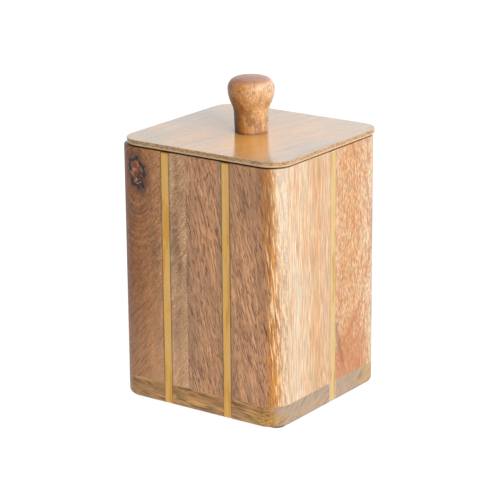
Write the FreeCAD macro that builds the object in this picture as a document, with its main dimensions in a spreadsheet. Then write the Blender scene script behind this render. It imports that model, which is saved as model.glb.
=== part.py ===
"""Square wooden spice canister with brass inlay and a lift-off lid, as a parametric FreeCAD document.

The box stands on four bumper feet. Eight upright boards, two to a side, are glued to a two-board base slab.
The front and rear ones run the full width and the side ones butt between them. Brass strips lie in grooves
cut down the outer faces of boards and slab, and the whole is then sanded to one rounded envelope. The lid is
one board, with a locating plug and a sealing ring below it and a turned knob above, held by one countersunk
screw driven up through the plug.

Frame: millimetres, +Z up, the origin on the resting surface under the box's axis. The front faces -Y.
"""
import FreeCAD
import Part

import os

import Sketcher

SIZES = {
    # The box.
    "body_width": 110,
    "body_depth": 105,
    "body_height": 147.7,
    "corner_radius": 13,
    "wall_thick": 10.5,
    "base_thick": 12.5,
    "bottom_arris": 2.5,
    "rim_arris": 0.6,
    # Where the boards of a side meet, measured from the box's axis.
    "front_seam": -6,
    "side_seam": 2,
    # The brass inlay.
    "strip_width": 4.8,
    "strip_thick": 1.5,
    "groove_slack": 0.15,
    "front_strip_pitch": 41,
    "front_strip_shift": 0.4,
    # The feet.
    "foot_radius": 6,
    "foot_flat": 4.4,
    "foot_high": 2.6,
    "foot_skirt": 1,
    "foot_from_side": 10.5,
    "foot_from_front": 13.5,
    # The lid, which rests a little off centre within the plug's play.
    "lid_width": 109,
    "lid_depth": 105,
    "lid_thick": 3.2,
    "lid_drift": 1.4,
    "lid_top_arris": 0.4,
    "lid_low_arris": 1,
    "plug_play": 1.8,
    "plug_thick": 6,
    "plug_corner": 5,
    "plug_lead": 1,
    "ring_set_in": 4,
    "ring_corner": 10,
    "ring_thick": 0.8,
    "ring_slack": 0.2,
    # The knob's turned profile.
    "knob_foot": 9.4,
    "knob_neck": 9.75,
    "knob_head": 13.25,
    "neck_level": 10.3,
    "head_level": 25.2,
    "neck_bend": 14,
    "crown_bend": 6.2,
    "crown_turn": 76,
    # The screw that holds the knob.
    "screw_radius": 2,
    "screw_head": 4,
    "screw_long": 27,
    "screw_tip": 4,
    "screw_sink": 2.4,
    "recess_width": 0.9,
    "recess_long": 4.4,
    "pilot_slack": 0.03,
    "pilot_spare": 1,
    "shank_slack": 0.3,
}

doc = FreeCAD.newDocument("spice_canister")
sheet = doc.addObject("Spreadsheet::Sheet", "Sizes")
for row, (alias, size) in enumerate(SIZES.items(), start=1):
    sheet.set(f"A{row}", alias)
    sheet.set(f"B{row}", str(size))
    sheet.setAlias(f"B{row}", alias)
doc.recompute()

Z_UP = FreeCAD.Vector(0, 0, 1)
OUTSIDE = "1"  # how far a cutter stands proud of the face that it cuts


def in_sheet(expression):
    """The expression with each alias written as a cell of the sheet, longest names first."""
    words = []
    word = ""
    for letter in expression + " ":
        if letter.isalnum() or letter == "_":
            word += letter
            continue
        words.append(f"Sizes.{word}" if word in SIZES else word)
        words.append(letter)
        word = ""
    return "".join(words).strip()


def value(expression):
    """What an expression of the sheet's aliases comes to, as a plain number."""
    found = sheet.evalExpression(in_sheet(expression))
    return float(getattr(found, "Value", found))


def bind(item, prop, expression):
    """Ties a property of a document object to an expression of the sheet's aliases."""
    item.setExpression(prop, in_sheet(expression))


def place(item, x="0", y="0", z="0", turn=0):
    """Turns an object about Z, in degrees, and ties its position to the sheet."""
    item.Placement = FreeCAD.Placement(FreeCAD.Vector(), FreeCAD.Rotation(Z_UP, turn))
    for axis, expression in zip("xyz", (x, y, z)):
        bind(item, f"Placement.Base.{axis}", expression)


def origin_plane(body, role):
    return next(f for f in body.Origin.OriginFeatures if f.Role == role)


def pin_point(sketch, geo, end, x, y):
    """Holds one end of a sketch entity at a point given by two expressions."""
    for kind, axis, expression in (("DistanceX", -2, x), ("DistanceY", -1, y)):
        if expression == "0":
            sketch.addConstraint(Sketcher.Constraint("PointOnObject", geo, end, axis))
            continue
        index = sketch.addConstraint(Sketcher.Constraint(kind, -1, 1, geo, end, value(expression)))
        bind(sketch, f"Constraints[{index}]", expression)


def draw_outline(body, plane, vertices):
    """A closed, fully constrained sketch on one of a body's own planes.

    A vertex is (x, y), with a straight run to the next one, or (x, y, side, radius), with an arc to the next
    one whose centre lies on that side of the way there.
    """
    sketch = body.newObject("Sketcher::SketchObject", body.Name + "_outline")
    sketch.AttachmentSupport = [(origin_plane(body, plane), "")]
    sketch.MapMode = "FlatFace"
    ends = []
    for here, after in zip(vertices, vertices[1:] + vertices[:1]):
        start = FreeCAD.Vector(value(here[0]), value(here[1]), 0)
        stop = FreeCAD.Vector(value(after[0]), value(after[1]), 0)
        if len(here) == 2:
            geo = sketch.addGeometry(Part.LineSegment(start, stop))
            ends.append((geo, 1, 2))
            continue
        side, radius = here[2:]
        chord = stop - start
        inward = FreeCAD.Vector(-chord.y, chord.x, 0).normalize()
        if side == "right":
            inward = -inward
        rise = (value(radius) ** 2 - (chord.Length / 2) ** 2) ** 0.5
        centre = (start + stop) / 2 + inward * rise
        circle = Part.Circle(centre, Z_UP, value(radius))
        first, last = (start, stop) if side == "left" else (stop, start)
        geo = sketch.addGeometry(Part.ArcOfCircle(circle, circle.parameter(first), circle.parameter(last)))
        ends.append((geo, 1, 2) if side == "left" else (geo, 2, 1))
        index = sketch.addConstraint(Sketcher.Constraint("Radius", geo, value(radius)))
        bind(sketch, f"Constraints[{index}]", radius)
    for (geo, _, last), (following, first, _) in zip(ends, ends[1:] + ends[:1]):
        sketch.addConstraint(Sketcher.Constraint("Coincident", geo, last, following, first))
    for (geo, first, _), vertex in zip(ends, vertices):
        pin_point(sketch, geo, first, vertex[0], vertex[1])
    return sketch


def padded(name, corners, height):
    """A body that is a polygon in its own XY plane, padded upwards."""
    body = doc.addObject("PartDesign::Body", name)
    pad = body.newObject("PartDesign::Pad", name + "_pad")
    pad.Profile = draw_outline(body, "XY_Plane", corners)
    bind(pad, "Length", height)
    doc.recompute()
    return body


def turned(name, outline):
    """A body that is an outline in its own XZ plane, turned about Z."""
    body = doc.addObject("PartDesign::Body", name)
    sketch = draw_outline(body, "XZ_Plane", outline)
    turning = body.newObject("PartDesign::Revolution", name + "_turning")
    turning.Profile = sketch
    turning.ReferenceAxis = (sketch, ["V_Axis"])
    turning.Angle = 360
    doc.recompute()
    return body


def rounded(body, radius, wanted):
    """Fillets the edges of a body that the test picks, each edge given by its bounding box."""
    base = body.Tip
    edges = [f"Edge{n}" for n, edge in enumerate(base.Shape.Edges, start=1) if wanted(edge.BoundBox)]
    fillet = body.newObject("PartDesign::Fillet", body.Name + "_round")
    fillet.Base = (base, edges)
    bind(fillet, "Radius", radius)
    doc.recompute()


def is_upright(box):
    return box.ZLength > box.XLength + box.YLength


def is_at(level):
    """A test for edges that lie flat at one height of the body's own frame."""
    return lambda box: box.ZLength < 1e-6 and abs(box.ZMin - level) < 1e-6


def plate(name, width, depth, thick, corner, z, drift="0"):
    """A plate with rounded upright corners, centred over the origin and then moved along X by the drift."""
    body = padded(name, [("0", "0"), (width, "0"), (width, depth), ("0", depth)], thick)
    rounded(body, corner, is_upright)
    place(body, f"{drift} - ({width}) / 2", f"-({depth}) / 2", z)
    return body


def combine(kind, name, base, tool):
    joined = doc.addObject(kind, name)
    joined.Base = base
    joined.Tool = tool
    doc.recompute()
    return joined


def cylinder(name, radius, height, x="0", z="0"):
    rod = doc.addObject("Part::Cylinder", name)
    bind(rod, "Radius", radius)
    bind(rod, "Height", height)
    place(rod, x, "0", z)
    return rod


def block(name, length, width, height):
    box = doc.addObject("Part::Box", name)
    bind(box, "Length", length)
    bind(box, "Width", width)
    bind(box, "Height", height)
    return box


# The four sides, each seen from outside: its left corner as shares of the half width and half depth, the way
# that it runs to the right, its turn about Z and its length.
SIDES = {
    "front": ((-1, -1), (1, 0), 0, "body_width"),
    "right": ((1, -1), (0, 1), 90, "body_depth"),
    "rear": ((1, 1), (-1, 0), 180, "body_width"),
    "left": ((-1, 1), (0, -1), 270, "body_depth"),
}


def place_on_side(item, side, along, inward, z):
    """Puts an object on a side, so many millimetres from its left corner and in from its outer face."""
    (corner_x, corner_y), (run_x, run_y), turn, _ = SIDES[side]
    x = f"{corner_x} * body_width / 2 + {run_x} * ({along}) + {-run_y} * ({inward})"
    y = f"{corner_y} * body_depth / 2 + {run_y} * ({along}) + {run_x} * ({inward})"
    place(item, x, y, z, turn)


# The envelope that the glued box is sanded to.
envelope = plate("body_envelope", "body_width", "body_depth", "body_height", "corner_radius", "foot_high")
rounded(envelope, "bottom_arris", is_at(0))
rounded(envelope, "rim_arris", is_at(SIZES["body_height"]))

# Each strip: its side and how far its middle is from that side's left corner.
FRONT_MIDDLE = "body_width / 2 + front_strip_shift"
STRIPS = {
    "front_strip_left": ("front", f"{FRONT_MIDDLE} - front_strip_pitch / 2"),
    "front_strip_right": ("front", f"{FRONT_MIDDLE} + front_strip_pitch / 2"),
    "right_strip": ("right", "body_depth / 2 + side_seam"),
    "rear_strip_right": ("rear", f"{FRONT_MIDDLE} - front_strip_pitch / 2"),
    "rear_strip_left": ("rear", f"{FRONT_MIDDLE} + front_strip_pitch / 2"),
    "left_strip": ("left", "body_depth / 2 - side_seam"),
}

grooves = []
for name, (side, middle) in STRIPS.items():
    groove = block(
        name + "_groove",
        "strip_width + 2 * groove_slack",
        f"strip_thick + groove_slack + {OUTSIDE}",
        f"body_height + 2 * {OUTSIDE}",
    )
    start = f"{middle} - strip_width / 2 - groove_slack"
    place_on_side(groove, side, start, f"-{OUTSIDE}", f"foot_high - {OUTSIDE}")
    grooves.append(groove)
groove_cutter = doc.addObject("Part::MultiFuse", "groove_cutter")
groove_cutter.Shapes = grooves
doc.recompute()

pieces = []


def keep(item, label):
    """Lists a finished piece under the name that its file gets."""
    item.Label = label
    pieces.append(item)


def wooden(blank, label):
    """A board of the box: its blank, sanded to the envelope and grooved for the brass."""
    sanded = combine("Part::Common", label + "_sanded", blank, envelope)
    keep(combine("Part::Cut", label + "_grooved", sanded, groove_cutter), label)


# The upright boards. Each side has a left one and a right one, which meet at the seam. A side's boards start
# and stop this far in from its corners: the front and rear run the full width, the sides butt between them.
WALL_Z = "foot_high + base_thick"
WALL_HIGH = "body_height - base_thick"
BOARDS = {
    "front": ("front_board_left", "front_board_right", "body_width / 2 + front_seam", "0"),
    "right": ("right_board_front", "right_board_rear", "body_depth / 2 + side_seam", "wall_thick"),
    "rear": ("rear_board_right", "rear_board_left", "body_width / 2 + front_seam", "0"),
    "left": ("left_board_rear", "left_board_front", "body_depth / 2 - side_seam", "wall_thick"),
}
for side, (left_label, right_label, seam, inset) in BOARDS.items():
    length = SIDES[side][-1]
    for label, start, stop in ((left_label, inset, seam), (right_label, seam, f"{length} - {inset}")):
        blank = block(label + "_blank", f"{stop} - ({start})", "wall_thick", WALL_HIGH)
        place_on_side(blank, side, start, "0", WALL_Z)
        wooden(blank, label)

# The base slab: two boards whose seam lies under the side strips.
SLAB = {
    "base_board_front": ("-body_depth / 2", "body_depth / 2 + side_seam"),
    "base_board_rear": ("side_seam", "body_depth / 2 - side_seam"),
}
for label, (y, deep) in SLAB.items():
    blank = block(label + "_blank", "body_width", deep, "base_thick")
    place(blank, "-body_width / 2", y, "foot_high")
    wooden(blank, label)

# The brass strips, sanded flush with the wood.
for label, (side, middle) in STRIPS.items():
    bar = block(label + "_bar", "strip_width", f"strip_thick + {OUTSIDE}", "body_height")
    place_on_side(bar, side, f"{middle} - strip_width / 2", f"-{OUTSIDE}", "foot_high")
    keep(combine("Part::Common", label + "_flush", bar, envelope), label)

# The bumper feet: a low dome with a small flat to stand on and a straight skirt under the slab.
DOME_DEEP = "(foot_high - foot_skirt)"
DOME_REACH = "(foot_radius - foot_flat)"
DOME_BEND = f"({DOME_DEEP} ^ 2 + {DOME_REACH} ^ 2) / (2 * {DOME_DEEP})"
for label, across, along in (
    ("foot_front_left", -1, -1),
    ("foot_front_right", 1, -1),
    ("foot_rear_left", -1, 1),
    ("foot_rear_right", 1, 1),
):
    foot = turned(
        label + "_turned",
        [
            ("0", "0"),
            ("foot_flat", "0", "left", DOME_BEND),
            ("foot_radius", "foot_high - foot_skirt"),
            ("foot_radius", "foot_high"),
            ("0", "foot_high"),
        ],
    )
    place(
        foot,
        f"{across} * (body_width / 2 - foot_from_side)",
        f"{along} * (body_depth / 2 - foot_from_front)",
    )
    keep(foot, label)

# The lid's flat pieces: the board, with the hole for the screw's shank, and below it the plug and the ring.
RING_Z = "foot_high + body_height"
BOARD_Z = f"{RING_Z} + ring_thick"
KNOB_Z = f"{BOARD_Z} + lid_thick"
PLUG_Z = f"{BOARD_Z} - plug_thick"

shank_hole = cylinder(
    "shank_hole",
    "screw_radius + shank_slack",
    f"plug_thick + lid_thick + 2 * {OUTSIDE}",
    "lid_drift",
    f"{PLUG_Z} - {OUTSIDE}",
)
lid = plate("lid_plate", "lid_width", "lid_depth", "lid_thick", "corner_radius", BOARD_Z, "lid_drift")
rounded(lid, "lid_top_arris", is_at(SIZES["lid_thick"]))
rounded(lid, "lid_low_arris", is_at(0))
keep(combine("Part::Cut", "lid_bored", lid, shank_hole), "lid_board")

# The plug fits the box's mouth with some play. It has a lead-in round its lower edge and a countersink.
PLUG_WIDTH = "(body_width - 2 * wall_thick - 2 * plug_play)"
PLUG_DEPTH = "(body_depth - 2 * wall_thick - 2 * plug_play)"
plug = plate("plug_plate", PLUG_WIDTH, PLUG_DEPTH, "plug_thick", "plug_corner", PLUG_Z, "lid_drift")
rounded(plug, "plug_lead", is_at(0))
bored_plug = combine("Part::Cut", "plug_bored", plug, shank_hole)
countersink = doc.addObject("Part::Cone", "countersink")
bind(countersink, "Radius1", "screw_head + shank_slack")
bind(countersink, "Radius2", "screw_radius + shank_slack")
bind(countersink, "Height", "screw_sink")
place(countersink, "lid_drift", "0", PLUG_Z)
keep(combine("Part::Cut", "plug_sunk", bored_plug, countersink), "lid_plug")

# The sealing ring lies round the plug and meets the box's rim.
ring_outer = plate(
    "ring_outer",
    "lid_width - 2 * ring_set_in",
    "lid_depth - 2 * ring_set_in",
    "ring_thick",
    "ring_corner",
    RING_Z,
    "lid_drift",
)
ring_inner = plate(
    "ring_inner",
    f"{PLUG_WIDTH} + 2 * ring_slack",
    f"{PLUG_DEPTH} + 2 * ring_slack",
    f"ring_thick + 2 * {OUTSIDE}",
    "plug_corner + ring_slack",
    f"{RING_Z} - {OUTSIDE}",
    "lid_drift",
)
keep(combine("Part::Cut", "ring_flat", ring_outer, ring_inner), "lid_seal")

# The turned knob: a nearly straight neck, an S up to the head, a tight crown and a nearly flat top.
FLARE = "((head_level - neck_level) ^ 2 + (knob_head - knob_neck) ^ 2) / (2 * (knob_head - knob_neck))"
FLARE_SHARE = f"(neck_bend / ({FLARE}))"
CROWN_X = "(knob_head - crown_bend + crown_bend * cos(crown_turn * 1 deg))"
CROWN_Z = "(head_level + crown_bend * sin(crown_turn * 1 deg))"
TOP_BEND = f"{CROWN_X} / cos(crown_turn * 1 deg)"
PILOT = "screw_radius + pilot_slack"
PILOT_DEEP = "(screw_long - plug_thick - lid_thick + pilot_spare)"
knob = turned(
    "knob_turned",
    [
        (PILOT, "0"),
        ("knob_foot", "0"),
        ("knob_neck", "neck_level", "right", "neck_bend"),
        (
            f"knob_neck + (knob_head - knob_neck) * {FLARE_SHARE}",
            f"neck_level + (head_level - neck_level) * {FLARE_SHARE}",
            "left",
            f"{FLARE} - neck_bend",
        ),
        ("knob_head", "head_level", "left", "crown_bend"),
        (CROWN_X, CROWN_Z, "left", TOP_BEND),
        ("0", f"{CROWN_Z} - {CROWN_X} * tan(crown_turn * 1 deg) + {TOP_BEND}"),
        ("0", PILOT_DEEP),
        (PILOT, PILOT_DEEP),
    ],
)
place(knob, "lid_drift", "0", KNOB_Z)
keep(knob, "knob")

# The screw: a countersunk head with a cross recess, a plain shank and a point.
screw = turned(
    "screw_turned",
    [
        ("0", "0"),
        ("screw_head", "0"),
        ("screw_radius", "screw_sink - shank_slack"),
        ("screw_radius", "screw_long - screw_tip"),
        ("0", "screw_long"),
    ],
)
place(screw, "lid_drift", "0", PLUG_Z)
cross = []
for turn, run_x, run_y in ((0, 1, 0), (90, 0, 1)):
    slot = block(f"recess_{turn}", "recess_long", "recess_width", f"screw_sink / 2 + {OUTSIDE}")
    x = f"lid_drift - {run_x} * recess_long / 2 + {run_y} * recess_width / 2"
    y = f"-{run_y} * recess_long / 2 - {run_x} * recess_width / 2"
    place(slot, x, y, f"{PLUG_Z} - {OUTSIDE}", turn)
    cross.append(slot)
recess = combine("Part::Fuse", "cross_recess", cross[0], cross[1])
keep(combine("Part::Cut", "screw_recessed", screw, recess), "knob_screw")

doc.recompute()
for item in doc.Objects:
    if {"Invalid", "Error"} & set(item.State):
        raise RuntimeError(f"{item.Label} failed: {item.State}")
for item in pieces:
    shape = item.Shape
    if shape.isNull() or not shape.isValid() or len(shape.Solids) != 1:
        raise RuntimeError(f"{item.Label} is not one valid solid")

os.makedirs("parts", exist_ok=True)
for item in pieces:
    item.Shape.exportStep(f"parts/{item.Label}.step")
print(f"{len(pieces)} pieces written")
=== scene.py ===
"""Looks of the square wooden spice canister: the camera, the light, the wood, the brass and the small parts.

Metres, +Z up, the origin on the resting surface under the box's axis, the front faces -Y. Patterns are laid
out in millimetres in the same frame: a place is (x, y, z) and a level is a z.
"""
import math

import bmesh
import bpy
from mathutils import Matrix, Vector


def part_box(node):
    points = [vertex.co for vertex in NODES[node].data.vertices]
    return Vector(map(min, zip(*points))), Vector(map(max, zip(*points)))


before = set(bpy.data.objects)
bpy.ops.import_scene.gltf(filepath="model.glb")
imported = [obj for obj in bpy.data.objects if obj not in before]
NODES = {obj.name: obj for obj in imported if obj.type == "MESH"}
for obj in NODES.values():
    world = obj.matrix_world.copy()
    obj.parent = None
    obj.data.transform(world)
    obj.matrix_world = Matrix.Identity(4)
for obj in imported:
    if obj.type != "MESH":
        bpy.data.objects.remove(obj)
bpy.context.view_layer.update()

MM = 0.001
WIDE = 1e4  # how far a round patch reaches, in mm, along an axis that doesn't count
SMOOTH = {"interpolation_type": "SMOOTHSTEP"}


# ---------------------------------------------------------------- small helpers
def linear(colour):
    """An sRGB colour written as hex, as linear RGBA."""
    parts = [int(colour[i : i + 2], 16) / 255 for i in (0, 2, 4)]
    return (*(p / 12.92 if p <= 0.04045 else ((p + 0.055) / 1.055) ** 2.4 for p in parts), 1.0)


def add(tree, kind, inputs=(), output=0, **settings):
    """Adds a shader node, gives its inputs values or links, and returns one of its outputs."""
    made = tree.nodes.new("ShaderNode" + kind)
    for name, setting in settings.items():
        setattr(made, name, setting)
    for key, given in inputs.items() if isinstance(inputs, dict) else enumerate(inputs):
        if isinstance(given, bpy.types.NodeSocket):
            tree.links.new(given, made.inputs[key])
        else:
            made.inputs[key].default_value = given
    return made.outputs[output]


def overlap(tree, *shares):
    """The product of some shares, each a number, a socket, or (value, 0 up to here, 1 from here on)."""
    product = 1.0
    for share in shares:
        share = add(tree, "MapRange", share, **SMOOTH) if isinstance(share, tuple) else share
        product = share if product == 1.0 else add(tree, "Math", (product, share), operation="MULTIPLY")
    return product


def stain(tree, colour, tone, *shares):
    """A tone laid over a colour where all its shares overlap."""
    tone = linear(tone) if isinstance(tone, str) else tone
    return add(tree, "Mix", {0: overlap(tree, *shares), 6: colour, 7: tone}, 2, data_type="RGBA")


def drawn(tree, place, across, along, lean=0.0, seed=0.0, detail=2.0, rough=0.5):
    """Noise drawn out along the grain: this many millimetres across and along it, leaning by some degrees."""
    inputs = {
        "Vector": place,
        "Location": (seed, seed * 1.7, seed * 0.6),
        "Rotation": (0.0, math.radians(lean), 0.0),
        "Scale": (across, across, along),
    }
    stretched = add(tree, "Mapping", inputs, vector_type="TEXTURE")
    return add(tree, "TexNoise", {"Vector": stretched, "Scale": 1.0, "Detail": detail, "Roughness": rough})


def away(tree, place, middle, size, lean=0.0, axis=1):
    """How far a point is from the middle of a round patch, which ends at 1 and leans by some degrees."""
    turn = [0.0, 0.0, 0.0]
    turn[axis] = math.radians(lean)
    inputs = {"Vector": place, "Location": middle, "Rotation": turn, "Scale": size}
    patch = add(tree, "Mapping", inputs, vector_type="TEXTURE")
    return add(tree, "VectorMath", (patch,), 1, operation="LENGTH")


def off(tree, value, middle):
    """How far a value is from another, on either side."""
    gap = add(tree, "Math", (value, middle), operation="SUBTRACT")
    return add(tree, "Math", (gap,), operation="ABSOLUTE")


def middle_of(name):
    """The middle of a CAD node at rest, in millimetres."""
    low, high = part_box(name)
    return [(a + b) / 2 / MM for a, b in zip(low, high)]


def levels_of(name):
    """The lowest and the highest level of a CAD node at rest, in millimetres."""
    low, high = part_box(name)
    return low[2] / MM, high[2] / MM


def new_material(name):
    """A material, its node tree and its shader."""
    material = bpy.data.materials.new(name)
    material.use_nodes = True
    tree = material.node_tree
    return material, tree, tree.nodes["Principled BSDF"]


def in_millimetres(tree):
    """A point's place on the object, in millimetres."""
    source = add(tree, "TexCoord", output="Object")
    return add(tree, "Mapping", {"Vector": source, "Scale": (MM, MM, MM)}, vector_type="TEXTURE")


def dress(material, *names):
    """Gives some CAD nodes a material in the slots that they have."""
    for name in names:
        slots = NODES[name].data.materials
        if not slots:
            slots.append(material)
        for index in range(len(slots)):
            slots[index] = material


# ---------------------------------------------------------------- wood
# A board's grain runs along Z, except where a turn says otherwise.
GRAIN_Z = (0.0, 0.0, 0.0)
GRAIN_X = (0.0, math.pi / 2, 0.0)
GRAIN_Y = (-math.pi / 2, 0.0, 0.0)

# How places across a board are counted: the weights of x, y and z, and an offset. The sum of x and y grows
# along the front and on round its right corner, and the small share of z makes the bands lean.
FRONT = (1.0, 0.0, 0.0, 0.0)
SIDE = (0.0, 1.0, 0.0, 0.0)
UPRIGHT = (0.0, 0.0, 1.0, 0.0)
ROUND_THE_CORNER = (1.0, 1.0, 0.03, 48.0)


def wood(
    name, seed, bands, face, layers, grain=GRAIN_Z, wander=1.5, fray=4.0, clean=None, gloss=0.45, extra=None
):
    """Mango wood, planed and sanded by hand, then given a thin satin lacquer.

    The eye gets a soft, broad sheen over short dark pores and streaks that follow the grain. The real pores
    are about 0.2 mm wide and the fibres finer. Neither would show, so both are drawn two to four times as
    coarse.

    bands: (place in mm, colour) pairs across the board.
    face: the weights of x, y and z, and an offset, that give a point's place across the board.
    layers: what lies over the bands, each as (kind, mm across, mm along, lean in degrees, ...):
      ("shade", ..., strength)                    lighter and darker fibres
      ("cloud", ..., colour, strength)            a broad stain
      ("dash", ..., threshold, colour, strength)  open pores and short cracks, cut in
    grain: the turn that brings the patterns' length onto the board's grain.
    wander: how far, in mm, the grain strays.
    fray: how far, in mm, the fibres of one band run into the next.
    clean: the place across the board where the dashes have faded out, and the place where they start to.
    gloss: the roughness of the smoothest fibres.
    extra: a function that adds what only this board has. It is given the colour so far, the place on the
      object and the place along the grain.
    """
    material, tree, shader = new_material(name)
    flat = in_millimetres(tree)
    turned = add(tree, "Mapping", {"Vector": flat, "Rotation": grain}, vector_type="TEXTURE")

    # The grain strays: every pattern below is moved sideways by a slow noise, 30 mm across and 60 mm along.
    inputs = {"Vector": turned, "Location": (seed, seed, seed), "Scale": (30.0, 30.0, 60.0)}
    slow = add(tree, "Mapping", inputs, vector_type="TEXTURE")
    slow = add(tree, "TexNoise", {"Vector": slow, "Scale": 1.0, "Detail": 1.5}, 1)
    slow = add(tree, "VectorMath", (slow, (0.5, 0.5, 0.5)), operation="SUBTRACT")
    slow = add(tree, "VectorMath", (slow, (4 * wander, 4 * wander, 0.0)), operation="MULTIPLY")
    place = add(tree, "VectorMath", (turned, slow), operation="ADD")

    # Bands of colour across the board. Their edges wander with the grain, and fray along single fibres.
    across = add(tree, "VectorMath", (flat, face[:3]), 1, operation="DOT_PRODUCT")
    across = add(tree, "Math", (across, face[3]), operation="ADD")
    dashed = (across, *clean) if clean else 1.0
    for wide, long, reach in ((7.0, 45.0, wander), (0.55, 16.0, fray)):
        edge = drawn(tree, place, wide, long, seed=seed + wide)
        edge = add(tree, "Math", (edge, 3 * reach, -1.5 * reach), operation="MULTIPLY_ADD")
        across = add(tree, "Math", (across, edge), operation="ADD")
    first, last = bands[0][0], bands[-1][0]
    colour = add(tree, "ValToRGB", (add(tree, "MapRange", (across, first, last)),))
    stops = colour.node.color_ramp.elements
    stops[0].color, stops[-1].color = linear(bands[0][1]), linear(bands[-1][1])
    for where, tone in bands[1:-1]:
        stops.new((where - first) / (last - first)).color = linear(tone)

    # Fibres are slightly raised, and each kind of layer is drawn over what is there.
    fibre = drawn(tree, place, 0.6, 12.0, seed=seed + 31, rough=0.6)
    dents = fibre
    for number, (kind, wide, long, lean, *rest) in enumerate(layers):
        noise = drawn(tree, place, wide, long, lean, seed + 9 * number, 2.5 if kind == "shade" else 1.5)
        if kind == "shade":
            factor = add(tree, "Math", (noise, 2 * rest[0], 1.0 - rest[0]), operation="MULTIPLY_ADD")
            colour = add(tree, "VectorMath", {0: colour, "Scale": factor}, operation="SCALE")
        elif kind == "cloud":
            colour = stain(tree, colour, rest[0], rest[1], (noise, 0.45, 0.68))
        else:
            # Dashes come and go in groups, as the pores of a growth ring do.
            threshold, tone, strength = rest
            thick = drawn(tree, place, 7.0, 13.0, seed=seed + 47 + 9 * number)
            dash = overlap(tree, (noise, threshold, threshold + 0.04), (thick, 0.28, 0.5), dashed)
            colour = stain(tree, colour, tone, strength, dash)
            dents = add(tree, "Math", (dash, -0.8, dents), operation="MULTIPLY_ADD")

    if extra:
        colour = extra(tree, colour, flat, place)

    tree.links.new(colour, shader.inputs["Base Color"])
    rough = add(tree, "MapRange", (fibre, 0.3, 0.8, gloss, gloss + 0.12), **SMOOTH)
    tree.links.new(rough, shader.inputs["Roughness"])
    # The lacquer leaves little of the fibres and the 0.2 mm deep pores to be felt.
    bump = add(tree, "Bump", {"Height": dents, "Strength": 0.12, "Distance": 0.2 * MM})
    tree.links.new(bump, shader.inputs["Normal"])
    return material


def beside(tree, colour, value, strip, tone, strength):
    """The dull line down each side of a strip, whose middle is given, where metal dust was sanded in."""
    gone, full = 3.6, 2.7  # from the strip's middle: the line is full at the strip's edge and soon gone
    return stain(tree, colour, tone, strength, (off(tree, value, strip), gone, full))


def knotted(tree, colour, flat, place):
    """What only the front left board has: a knot, ripples under it, slanting ones below, and a paler foot."""
    across = add(tree, "SeparateXYZ", (flat,))
    up = across.node.outputs[2]
    colour = stain(tree, colour, "c8986c", 0.32, (up, 90.0, 20.0))

    # Below, towards the outer edge, the ripples run aslant.
    slant = drawn(tree, place, 1.0, 13.0, 42, seed=23.0, detail=3.0)
    colour = stain(tree, colour, "5c3018", 0.5, (slant, 0.5, 0.62), (across, -27.0, -35.0), (up, 88.0, 66.0))

    # Ripples: arcs nested under the knot.
    bowl = away(tree, place, (-39.5, 0.0, 131.0), (7.0, WIDE, 11.0))
    arcs = add(tree, "TexNoise", {"W": bowl, "Scale": 4.5, "Detail": 2.0}, noise_dimensions="1D")
    broken = drawn(tree, flat, 3.0, 3.0, seed=17.0, detail=3.0)
    near = overlap(tree, (up, 80.0, 112.0), (across, -26.0, -34.0), (bowl, 0.7, 1.0), (broken, 0.35, 0.6))
    colour = stain(tree, colour, "52301c", 0.6, (arcs, 0.5, 0.66), near)
    colour = stain(tree, colour, "c49a72", 0.3, (arcs, 0.48, 0.36), near)

    # The knot itself: a dark halo, a black bark ring, a red core and cracks.
    knot = away(tree, flat, (-39.3, 0.0, 136.0), (5.3, WIDE, 9.2), lean=-17)
    ragged = drawn(tree, flat, 3.0, 4.0, seed=5.0, detail=3.0)
    ragged = add(tree, "Math", (ragged, 1.1, -0.55), operation="MULTIPLY_ADD")
    knot = add(tree, "Math", (knot, ragged), operation="ADD")
    colour = stain(tree, colour, "3d2012", 0.7, (knot, 1.8, 1.0))
    speck = drawn(tree, flat, 1.4, 2.4, seed=9.0, detail=3.0)
    red = stain(tree, linear("6a341e"), "a86c46", (speck, 0.42, 0.66))
    cell = add(tree, "Mapping", {"Vector": flat, "Scale": (2.2, 2.2, 2.8)}, vector_type="TEXTURE")
    cell = add(tree, "TexVoronoi", {"Vector": cell, "Scale": 1.0}, feature="DISTANCE_TO_EDGE")
    cracked = away(tree, flat, (-36.0, 0.0, 132.5), (4.5, WIDE, 4.5))
    red = stain(tree, red, "120906", (cell, 0.2, 0.08), (cracked, 1.4, 0.8))
    colour = stain(tree, colour, red, (knot, 0.9, 0.8))
    patchy = drawn(tree, flat, 5.0, 6.0, seed=2.0)
    colour = stain(tree, colour, "0c0604", (off(tree, knot, 0.95), 0.22, 0.1), (patchy, 0.36, 0.5))
    return beside(tree, colour, across, middle_of("front_strip_left")[0], "50482f", 0.6)


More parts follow.
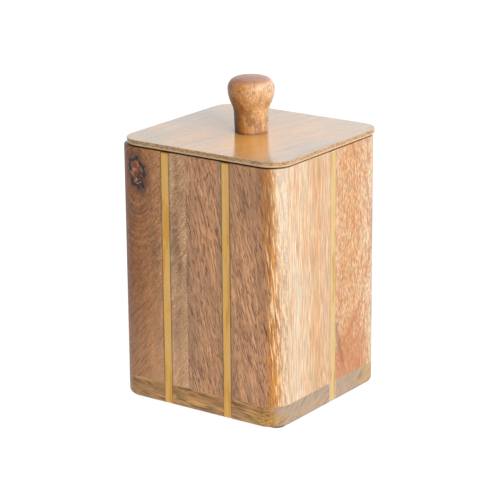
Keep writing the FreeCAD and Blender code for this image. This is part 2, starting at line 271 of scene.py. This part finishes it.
def by_the_corner(tree, colour, flat, place):
    """What only the front right board has: three long cracks, the sapwood threads down its edge, and a
    painted highlight high on the rounded corner.
    """
    across = add(tree, "SeparateXYZ", (flat,))
    up = across.node.outputs[2]
    # Each crack: its middle, its lean and half its length.
    for x, z, lean, half, seed in (
        (5.2, 120.0, -18, 13.0, 3.0),
        (45.6, 59.0, -13, 6.0, 4.0),
        (8.5, 141.0, 25, 3.0, 6.0),
    ):
        crack = away(tree, place, (x, 0.0, z), (0.45, WIDE, half), lean)
        ragged = drawn(tree, flat, 0.8, 4.0, seed=seed)
        crack = add(tree, "Math", (ragged, 1.2, crack), operation="MULTIPLY_ADD")
        colour = stain(tree, colour, "2c1b10", 0.8, (crack, 1.6, 1.1))

    # Bend is a point's way round the corner. Each thread: where it starts and stops, and its colour.
    bend = add(tree, "VectorMath", (flat, ROUND_THE_CORNER[:3]), 1, operation="DOT_PRODUCT")
    bend = add(tree, "Math", (bend, ROUND_THE_CORNER[3]), operation="ADD")
    for start, stop, tone, threshold, seed in (
        (46, 53, "ac6a0a", 0.48, 2.0),
        (47, 62, "ccac84", 0.53, 5.0),
        (44, 54, "6c3c12", 0.56, 11.0),
        (54, 66, "8e7052", 0.6, 8.0),
    ):
        thread = drawn(tree, place, 0.8, 15.0, -5, seed=seed)
        inside = overlap(tree, (bend, start - 1.5, start + 1.5), (bend, stop + 1.5, stop - 1.5))
        colour = stain(tree, colour, tone, 0.8, (thread, threshold, threshold + 0.06), inside)
    # Towards the rim the sapwood's edge is browner and the wood before them darker. The pale grey laid over
    # the sapwood there is a painted highlight, where the rounded corner catches the light.
    colour = stain(tree, colour, "74461a", 0.45, (bend, 41.0, 45.0), (bend, 54.0, 50.0), (up, 100.0, 130.0))
    colour = stain(tree, colour, "c6beb2", 0.25, (bend, 53.0, 59.0), (bend, 71.0, 65.0), (up, 85.0, 125.0))
    middle = overlap(tree, (across, 18.0, 26.0), (across, 46.0, 40.0))
    colour = stain(tree, colour, "64482e", 0.3, middle, (up, 104.0, 136.0))
    return beside(tree, colour, across, middle_of("front_strip_right")[0], "50482f", 0.6)


def by_the_right_strip(tree, colour, flat, place):
    """What only the right front board has: the dull line beside the right strip."""
    along = add(tree, "SeparateXYZ", (flat,), 1)
    return beside(tree, colour, along, middle_of("right_strip")[1], "9c8f70", 0.5)


def lower_redder(tree, colour, flat, place):
    """What only the right rear board has: a redder lower end, a dark streak in it and one bowed line."""
    along = add(tree, "SeparateXYZ", (flat,), 1)
    up = along.node.outputs[2]
    # The redder part ends unevenly, 30 to 70 mm up.
    edge = drawn(tree, flat, 12.0, 30.0, seed=8.0)
    edge = add(tree, "Math", (edge, 40.0, 30.0), operation="MULTIPLY_ADD")
    edge = add(tree, "Math", (edge, up), operation="SUBTRACT")
    colour = stain(tree, colour, "965428", 0.6, (edge, -10.0, 25.0), (along, 44.0, 30.0))
    streak = away(tree, place, (0.0, 9.0, 38.0), (WIDE, 2.0, 17.0), 14, axis=0)
    colour = stain(tree, colour, "5c3424", 0.5, (streak, 1.5, 0.4))
    bow = away(tree, flat, (0.0, -20.0, 96.0), (WIDE, 61.0, 72.0))
    colour = stain(tree, colour, "8a4c2c", 0.4, (off(tree, bow, 1.0), 0.02, 0.005))
    return by_the_right_strip(tree, colour, flat, place)


def end_grain(tree, colour, flat, place):
    """What only the base has: greyer end grain at its left and right, and a yellow patch by a corner."""
    along = add(tree, "SeparateXYZ", (flat,), 1)
    # End grain shows where the surface faces left or right: cut growth rings, browner towards the rear.
    facing = add(tree, "SeparateXYZ", (add(tree, "TexCoord", output="Normal"),))
    inputs = {"Vector": place, "Rotation": (0.0, 0.0, math.radians(35)), "Scale": (1.3, 9.0, 30.0)}
    rings = add(tree, "Mapping", inputs, vector_type="TEXTURE")
    rings = add(tree, "TexNoise", {"Vector": rings, "Scale": 1.0, "Detail": 4.0, "Roughness": 0.6})
    grey = stain(tree, linear("8e7a68"), "a0804e", 0.8, (along, 20.0, 44.0))
    grey = stain(tree, grey, "66503a", 0.7, (rings, 0.46, 0.68))
    colour = stain(tree, colour, grey, 0.9, (off(tree, facing, 0.0), 0.5, 0.85))
    ragged = drawn(tree, flat, 2.6, 1.0, seed=12.0, detail=3.0)
    patch = away(tree, place, (-8.0, 0.0, 47.0), (5.0, WIDE, 6.5))
    patch = add(tree, "Math", (patch, ragged), operation="ADD")
    yellow = stain(tree, linear("a87820"), "4a3720", (ragged, 0.5, 0.62))
    colour = stain(tree, colour, yellow, 0.5, (patch, 1.9, 1.3))
    return beside(tree, colour, along, middle_of("right_strip")[1], "c0b49a", 0.5)


def cut_edge(tree, colour, flat, place):
    """What only the lid has: a golden patch in its face, partly the lacquer's own tint and partly a painted
    reflection of the knob, and mottled cut edges with a pale line low down.
    """
    halo = away(tree, flat, (1.4, 0.0, 0.0), (40.0, 40.0, WIDE))
    colour = stain(tree, colour, "b4783a", 0.35, (halo, 1.3, 0.4))
    # A golden patch in front of the knob, drawn out towards the camera: partly the lid's own golden tone,
    # partly a painted reflection of the knob.
    golden_tint_and_knob_reflection = away(tree, flat, (17.0, -23.0, 0.0), (16.0, 33.0, WIDE), 35, axis=2)
    streaky = drawn(tree, place, 2.0, 40.0, 8, seed=33.0)
    streaky = add(tree, "MapRange", (streaky, 0.35, 0.6, 0.65, 1.0))
    colour = stain(tree, colour, "c4863e", 0.8, (golden_tint_and_knob_reflection, 1.4, 0.4), streaky)
    # The cut edge shows where the surface turns away from level.
    flatness = add(tree, "SeparateXYZ", (add(tree, "TexCoord", output="Normal"),), 2)
    height = add(tree, "SeparateXYZ", (flat,), 2)
    mottle = drawn(tree, flat, 1.6, 0.9, seed=14.0, detail=3.0)
    edge = stain(tree, linear("a6825a"), "765632", 0.75, (mottle, 0.44, 0.58))
    underside, _ = levels_of("lid_board")
    edge = stain(tree, edge, "b8a284", 0.8, (height, underside + 1.5, underside + 0.8))
    return stain(tree, colour, edge, (off(tree, flatness, 0.0), 0.8, 0.4))


def turned_through(tree, colour, flat, place):
    """What only the knob has: growth rings cut to closed lines by the turning, a redder top, painted shade
    down its lower left and painted shade at its foot.
    """
    across = add(tree, "SeparateXYZ", (flat,))
    up = across.node.outputs[2]
    foot, top = levels_of("knob")
    ring = away(tree, place, (-7.0, 4.0, 0.0), (1.0, 1.0, 9.0))
    bent = drawn(tree, flat, 5.0, 9.0, seed=21.0)
    ring = add(tree, "Math", (bent, 5.0, ring), operation="MULTIPLY_ADD")
    lines = add(tree, "TexNoise", {"W": ring, "Scale": 0.55, "Detail": 3.0}, noise_dimensions="1D")
    colour = stain(tree, colour, "6a3c18", 0.5, (lines, 0.54, 0.66))
    # Painted shade down the knob's lower left side, away from the light.
    colour = stain(tree, colour, "4e2204", 0.85, (up, foot + 19.7, foot + 11.7), (across, 4.0, -5.0))
    # Painted shade at the foot, where the knob meets the lid.
    colour = stain(tree, colour, "5e300e", 0.6, (up, foot + 2.3, foot + 0.3))
    return stain(tree, colour, "7c4028", 0.7, (up, top - 3.8, top - 1.4))


# ---------------------------------------------------------------- the boards
# Dark heartwood round a knot, paler and greyer towards the seam.
front_left = wood(
    "mango_wood_front_left",
    seed=77.0,
    bands=[
        (-56, "7a3e14"),
        (-47, "7e4619"),
        (-36, "965e2c"),
        (-30, "9c683a"),
        (-22.6, "a07248"),
        (-17.5, "aa8564"),
        (-11.5, "a27a54"),
        (-6, "ae8864"),
    ],
    face=FRONT,
    fray=2.5,
    clean=(-15.0, -19.0),
    layers=[
        ("cloud", 12, 26, 0, "703e1c", 0.35),
        ("shade", 0.5, 1.2, 32, 1.1),
        ("shade", 1.2, 7.0, 36, 0.7),
        ("shade", 5.0, 60.0, 0, 0.5),
        ("dash", 0.4, 2.6, 32, 0.58, "54341f", 0.5),
    ],
    extra=knotted,
)
# Brown wood with leaning pores, which turns at a yellow edge into pale sapwood round the corner.
front_right = wood(
    "mango_wood_front_right",
    seed=84.0,
    bands=[
        (-6, "a87c58"),
        (1, "b4825a"),
        (13, "b48056"),
        (17.5, "92765a"),
        (24, "b08058"),
        (36, "be8a60"),
        (45, "a0704c"),
        (47.5, "98622c"),
        (50, "a8701e"),
        (51.5, "b07a44"),
        (53, "a06c34"),
        (55.5, "b08c68"),
        (60, "aa947c"),
        (66, "b09274"),
    ],
    face=ROUND_THE_CORNER,
    clean=(52.0, 46.0),
    fray=5.0,
    layers=[
        ("cloud", 9, 40, -10, "86684c", 0.4),
        ("cloud", 3, 30, -12, "946038", 0.35),
        ("shade", 1.3, 18.0, -10, 0.6),
        ("shade", 0.5, 6.0, -14, 0.7),
        ("dash", 0.6, 5.0, -11, 0.58, "70442a", 0.85),
        ("dash", 0.75, 7.5, -16, 0.6, "643c24", 0.8),
        ("dash", 0.8, 14.0, -20, 0.64, "46301f", 0.6),
    ],
    extra=by_the_corner,
)
# Pale wood, straight in the grain, with long orange threads.
right_front = wood(
    "mango_wood_right_front",
    seed=91.0,
    bands=[
        (-43, "b09c80"),
        (-34, "b2a088"),
        (-22, "ae9476"),
        (-14, "a88660"),
        (-6, "aa9074"),
        (2, "a68a6c"),
    ],
    face=SIDE,
    layers=[
        ("cloud", 1.6, 34, 0, "b07a4a", 0.6),
        ("cloud", 3.2, 50, 0, "b2947a", 0.3),
        ("shade", 0.6, 12.0, 0, 0.9),
        ("dash", 0.7, 13.0, -2, 0.57, "a8683a", 0.5),
        ("dash", 0.6, 6.0, -4, 0.64, "8a7460", 0.5),
    ],
    extra=by_the_right_strip,
)
# Pale wood with short orange flecks, and redder at its lower end.
right_rear = wood(
    "mango_wood_right_rear",
    seed=98.0,
    bands=[(2, "af9174"), (10, "a98056"), (24, "a97f54"), (34, "af8f6c"), (43, "af987d")],
    face=SIDE,
    layers=[
        ("cloud", 2.2, 16, -6, "a0602e", 0.7),
        ("cloud", 2.5, 8, -8, "b49c84", 0.35),
        ("shade", 0.7, 3.0, -10, 1.2),
        ("dash", 0.8, 5.0, -12, 0.57, "985a2c", 0.6),
    ],
    extra=lower_redder,
)
# The left side's two boards, in the browns of the front: a darker one and a paler one.
left_wood = wood(
    "mango_wood_left",
    seed=105.0,
    bands=[
        (-43, "8e5c34"),
        (-20, "a47048"),
        (1, "b0805a"),
        (3, "a88664"),
        (20, "b8946c"),
        (33, "a07044"),
        (43, "aa7c54"),
    ],
    face=SIDE,
    fray=3.0,
    layers=[
        ("cloud", 6, 40, 3, "80562e", 0.45),
        ("shade", 0.5, 9.0, 5, 0.9),
        ("dash", 0.45, 7.0, 4, 0.56, "64401f", 0.7),
    ],
)
# The rear's two boards, much the same.
rear_wood = wood(
    "mango_wood_rear",
    seed=112.0,
    bands=[
        (-56, "b8946a"),
        (-44, "aa7c4c"),
        (-22, "b88a5e"),
        (5, "a07048"),
        (7, "b89068"),
        (24, "a8784e"),
        (40, "b88c60"),
        (56, "b49474"),
    ],
    face=FRONT,
    fray=3.0,
    layers=[
        ("cloud", 7, 40, 6, "80562e", 0.45),
        ("shade", 0.5, 9.0, 8, 0.9),
        ("dash", 0.45, 7.0, 8, 0.56, "64401f", 0.7),
    ],
)
# The slab's grain lies level, so its long dark pores do too.
base_wood = wood(
    "mango_wood_base",
    seed=119.0,
    bands=[(2, "966838"), (7, "b08448"), (11, "906436"), (16, "aa7c42")],
    face=UPRIGHT,
    grain=GRAIN_X,
    wander=1.6,
    fray=0.8,
    layers=[
        ("cloud", 5, 30, 0, "84583a", 0.5),
        ("shade", 0.8, 14.0, 4, 1.3),
        ("dash", 0.8, 11.0, 5, 0.56, "4a3018", 0.75),
    ],
    extra=end_grain,
)
# The lid's grain runs from front to rear. Its lacquer is smooth enough to mirror the knob as a soft streak.
lid_wood = wood(
    "mango_wood_lid",
    seed=126.0,
    bands=[(-56, "967a60"), (-20, "987a5a"), (10, "a07e58"), (30, "a2825e"), (56, "9a7e66")],
    face=FRONT,
    grain=GRAIN_Y,
    layers=[
        ("cloud", 18, 34, 12, "c08444", 0.35),
        ("shade", 2.5, 60.0, 8, 0.3),
        ("shade", 0.5, 16.0, 8, 0.5),
        ("dash", 0.45, 7.0, 8, 0.6, "7a5030", 0.35),
    ],
    gloss=0.08,
    extra=cut_edge,
)
# It was rubbed down to a thin film, so the mirror image is a weak one.
lid_wood.node_tree.nodes["Principled BSDF"].inputs["Specular IOR Level"].default_value = 0.4
# The knob was turned from an upright block, so the cutter left short pores and fine specks all round it.
knob_wood = wood(
    "mango_wood_knob",
    seed=133.0,
    # The bands run from dark on the left to pale on the right: painted shade on the side away from the light
    # and painted light on the lit side.
    bands=[(-14, "6e3002"), (-5, "9e5c18"), (4, "b47c40"), (14, "c29c74")],
    face=FRONT,
    layers=[
        ("cloud", 5, 8, 0, "94520e", 0.4),
        ("cloud", 2.5, 4, 0, "c0945c", 0.2),
        ("shade", 0.5, 1.6, 0, 1.1),
        ("dash", 0.5, 1.5, 0, 0.57, "5a3214", 0.4),
    ],
    gloss=0.5,
    extra=turned_through,
)
# It was lacquered on the lathe, so it has a thicker coat with a broad, soft highlight.
knob_coat = knob_wood.node_tree.nodes["Principled BSDF"].inputs
knob_coat["Coat Weight"].default_value = 0.65
knob_coat["Coat Roughness"].default_value = 0.42

dress(front_left, "front_board_left")
dress(front_right, "front_board_right")
dress(right_front, "right_board_front")
dress(right_rear, "right_board_rear")
dress(left_wood, "left_board_front", "left_board_rear")
dress(rear_wood, "rear_board_left", "rear_board_right")
dress(base_wood, "base_board_front", "base_board_rear")
dress(lid_wood, "lid_board", "lid_plug")
dress(knob_wood, "knob")


# ---------------------------------------------------------------- brass
def brass(name, tone):
    """Brass flat bar, sanded flush with the wood along its length, then left to tarnish in patches.

    The eye gets a satin metal with a highlight spread across the sanding lines, and warmer and paler patches.
    The real lines are under 0.1 mm wide, too fine to show, so they are drawn 0.25 mm wide.
    """
    material, tree, shader = new_material(name)
    place = in_millimetres(tree)
    lines = drawn(tree, place, 0.25, 14.0, seed=2.0, detail=3.0)
    cloud = drawn(tree, place, 4.0, 26.0, seed=3.0, detail=3.0)
    colour = stain(tree, linear(tone), "bc842a", 0.55, (cloud, 0.5, 0.64))
    colour = stain(tree, colour, "d2ae78", 0.45, (cloud, 0.45, 0.3))
    tree.links.new(colour, shader.inputs["Base Color"])
    shader.inputs["Metallic"].default_value = 1.0
    tree.links.new(add(tree, "MapRange", (lines, 0.3, 0.7, 0.3, 0.45), **SMOOTH), shader.inputs["Roughness"])
    bump = add(tree, "Bump", {"Height": lines, "Strength": 0.15, "Distance": 0.1 * MM})
    tree.links.new(bump, shader.inputs["Normal"])
    return material


warm_brass = brass("sanded_brass", "d2a45e")
pale_brass = brass("paler_sanded_brass", "e0bc82")
dress(warm_brass, "front_strip_left", "front_strip_right", "rear_strip_right", "rear_strip_left")
dress(pale_brass, "right_strip", "left_strip")


# ---------------------------------------------------------------- small parts
def plain(name, colour, roughness, metallic=0.0):
    """A material of one colour with no pattern."""
    material, _, shader = new_material(name)
    shader.inputs["Base Color"].default_value = linear(colour)
    shader.inputs["Roughness"].default_value = roughness
    shader.inputs["Metallic"].default_value = metallic
    return material


# Black rubber, moulded in a matt tool: dark grey with no clear highlight.
black_rubber = plain("black_rubber", "2a2826", 0.7)
# Brown sheet rubber, die cut: a dark, dull line under the lid. Its dark brown also stands in as painted shade
# for the gap under the lid.
seal_rubber = plain("seal_rubber", "4a3020", 0.8)
# Steel, zinc plated: a bright, slightly blue grey metal.
plated_steel = plain("zinc_plated_steel", "b8bcc0", 0.3, metallic=1.0)

dress(black_rubber, "foot_front_left", "foot_front_right", "foot_rear_left", "foot_rear_right")
dress(seal_rubber, "lid_seal")
dress(plated_steel, "knob_screw")

# ---------------------------------------------------------------- the set
# A lit white table: a matt sheet that glows, so that it shows no shadow.
table_white, _, table_shader = new_material("lit_white_table")
table_shader.inputs["Base Color"].default_value = (0.05, 0.05, 0.05, 1.0)
table_shader.inputs["Roughness"].default_value = 0.9
table_shader.inputs["Emission Color"].default_value = (1.0, 1.0, 1.0, 1.0)
table_shader.inputs["Emission Strength"].default_value = 0.98
disc = bmesh.new()
bmesh.ops.create_circle(disc, cap_ends=True, radius=4.0, segments=64)
table_mesh = bpy.data.meshes.new("table")
disc.to_mesh(table_mesh)
disc.free()
table_mesh.materials.append(table_white)
table = bpy.data.objects.new("table", table_mesh)
bpy.context.scene.collection.objects.link(table)

# A white surround, brighter behind and to the right.
world = bpy.data.worlds.new("white_surround")
world.use_nodes = True
bpy.context.scene.world = world
sky = world.node_tree
towards = Vector((0.35, 0.88, 0.3)).normalized()
way = add(sky, "TexCoord", output="Generated")
facing = add(sky, "VectorMath", (way, towards), 1, operation="DOT_PRODUCT")
glow = add(sky, "MapRange", (facing, -1.0, 1.0, 0.0, 1.9))
backdrop = sky.nodes["Background"]
backdrop.inputs["Color"].default_value = (0.9, 0.98, 1.04, 1.0)
sky.links.new(glow, backdrop.inputs["Strength"])

# One softbox, to the right and a little in front, warmer than the surround.
softbox = bpy.data.lights.new("key_softbox", "AREA")
softbox.size = 0.8
softbox.energy = 24.0
softbox.color = (1.0, 0.96, 0.91)
key = bpy.data.objects.new("key_softbox", softbox)
key.location = (1.24, -0.50, 0.76)
key.rotation_mode = "QUATERNION"
key.rotation_quaternion = (Vector((0.0, 0.0, 0.08)) - key.location).to_track_quat("-Z", "Y")
bpy.context.scene.collection.objects.link(key)

# ---------------------------------------------------------------- the camera
# It looks down at the front right corner from well back, through a long lens, and is rolled a little.
azimuth, elevation, roll = math.radians(35.39), math.radians(17.014), math.radians(-0.451)
distance = 1.23796
aim = Vector((-0.00013859, -0.00009845, 0.08442))
flat_share = math.cos(elevation)
back = Vector((math.sin(azimuth) * flat_share, -math.cos(azimuth) * flat_share, math.sin(elevation)))
camera = bpy.data.objects.new("camera", bpy.data.cameras.new("camera"))
camera.data.sensor_width = 36.0
camera.data.lens = 156.0
camera.data.clip_start, camera.data.clip_end = 0.1, 20.0
unrolled = (-back).to_track_quat("-Z", "Y").to_matrix()
camera.rotation_mode = "QUATERNION"
camera.rotation_quaternion = (unrolled @ Matrix.Rotation(roll, 3, "Z")).to_quaternion()
camera.location = aim + back * distance
bpy.context.scene.collection.objects.link(camera)
bpy.context.scene.camera = camera
bpy.context.scene.view_settings.view_transform = "Standard"
